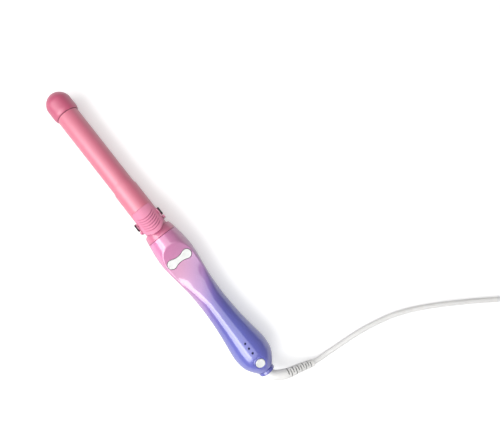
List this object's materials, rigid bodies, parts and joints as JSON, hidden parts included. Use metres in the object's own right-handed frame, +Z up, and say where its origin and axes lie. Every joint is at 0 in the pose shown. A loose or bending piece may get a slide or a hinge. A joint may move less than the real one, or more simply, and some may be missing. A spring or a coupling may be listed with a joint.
{
  "type": "rotating curling iron",
  "caption": "Curling iron with a motor-turned clip barrel, waisted two-shell handle, rocker and power buttons, and a swivel cord.",
  "frame": {"origin": "middle of the base of the iron's bounding box, without the cord, on the surface it lies on", "axes": "+X along the iron from the cool tip to the cord, +Z up and out of the clip, rocker and power button, +Y towards the side where the cord leaves"},
  "size_m": [0.5301, 0.411, 0.044],
  "materials": {
    "pink_coat_on_aluminium": "satin pink ceramic coat on aluminium tube",
    "pink_coated_sheet": "satin pink ceramic coat on spring steel sheet",
    "mauve_cap": "satin mauve-pink heat resistant moulding",
    "dark_seal": "matte dark silicone",
    "pink_lever": "matte pink moulding, slightly soft to the touch",
    "pink_collar": "glossy pink clear-coated moulding",
    "black_head": "black satin moulding",
    "ombre_shell": "glossy clear coat over paint that fades from pink to violet-blue",
    "blue_flange": "glossy violet-blue clear-coated moulding",
    "white_button": "white satin moulding",
    "navy_window": "dark navy light pipe",
    "white_cord": "white flexible jacket",
    "steel": "plain machined steel",
    "bare_aluminium": "extruded aluminium",
    "ceramic_heater": "insulating film over ceramic heating stones",
    "wire_jacket": "silicone wire jacket",
    "brown_glass": "glass bead sensor",
    "dark_nylon": "glass-filled nylon",
    "acetal": "plain acetal",
    "brass": "turned brass",
    "carbon": "pressed carbon",
    "green_board": "glass-fibre circuit board",
    "electronics": "moulded electronic parts",
    "light_diode": "clear diode package",
    "black_tie": "black soft strap",
    "bright_pins": "nickel-plated brass"
  },
  "bodies": {
    "handle": {"front_shell": "ombre_shell", "back_shell": "ombre_shell", "front_bush": "acetal", "rear_bush": "acetal", "motor_plate": "dark_nylon", "motor_gearbox": "brass", "motor_can": "steel", "motor_screws": "steel", "brush_block": "dark_nylon", "brushes": "carbon", "rocker_axle": "steel", "rocker_board": "green_board", "rocker_switches": "electronics", "main_board": "green_board", "board_parts": "electronics", "status_board": "green_board", "status_leds": "light_diode", "light_windows": "navy_window", "power_board": "green_board", "power_switch": "electronics", "shell_screws": "steel", "swivel_collar": "blue_flange", "contact_block": "dark_nylon"},
    "head": {"tip_cap": "mauve_cap", "tip_seal": "dark_seal", "barrel_tube": "pink_coat_on_aluminium", "heater_shoes": "bare_aluminium", "heater_plate": "ceramic_heater", "heater_leads": "wire_jacket", "temperature_sensor": "brown_glass", "collar": "pink_collar", "clip_pins": "steel", "pin_heads": "black_head", "clip_spring": "steel", "rotor_shaft": "dark_nylon", "rotor_screws": "steel", "retaining_ring": "steel", "slip_drum": "dark_nylon", "slip_rings": "brass", "drive_gear": "acetal"},
    "clip": {"clip_spoon": "pink_coated_sheet", "thumb_lever": "pink_lever", "lever_rivets": "steel"},
    "motor_rotor": {"motor_shaft": "steel", "pinion": "brass"},
    "rocker": {"rocker_button": "white_button"},
    "power": {"power_button": "white_button"},
    "cord": {"swivel_core": "white_button", "swivel_contacts": "brass", "strain_relief": "white_cord", "cord_run": "white_cord", "cord_coil": "white_cord", "cord_tail": "white_cord", "cord_tie": "black_tie", "plug_body": "white_cord", "plug_blades": "bright_pins"}
  },
  "joints": [
    {"name": "head_spin", "type": "hinge", "parent": "handle", "child": "head", "pos_m": [0.00425, 0, 0.0196], "axis": [1, 0, 0], "continuous": true},
    {"name": "clip_open", "type": "hinge", "parent": "head", "child": "clip", "pos_m": [-0.01805, 0, 0.0296], "axis": [0, 1, 0], "range_deg": [0, 14], "stiffness_Nm_per_rad": 0.25, "springref_deg": -20.05, "deforming": ["clip_spring"]},
    {"name": "motor_spin", "type": "hinge", "parent": "handle", "child": "motor_rotor", "pos_m": [0.02055, 0, 0.0096], "axis": [1, 0, 0], "continuous": true},
    {"name": "rocker_tilt", "type": "hinge", "parent": "handle", "child": "rocker", "pos_m": [0.03407, 0, 0.02656], "axis": [0.9697, 0, -0.2444], "range_deg": [-4, 4], "stiffness_Nm_per_rad": 0.6},
    {"name": "power_press", "type": "slide", "parent": "handle", "child": "power", "axis": [-0.342, 0, -0.9397], "range_m": [0, 0.0008], "stiffness_N_per_m": 1500, "springref_m": -0.0004},
    {"name": "cord_swivel", "type": "hinge", "parent": "handle", "child": "cord", "pos_m": [0.18455, 0, 0.0196], "axis": [1, 0, 0], "continuous": true}
  ],
  "couplings": [
    {"joint": "motor_spin", "follows": "head_spin", "ratio": -2.3333}
  ]
}
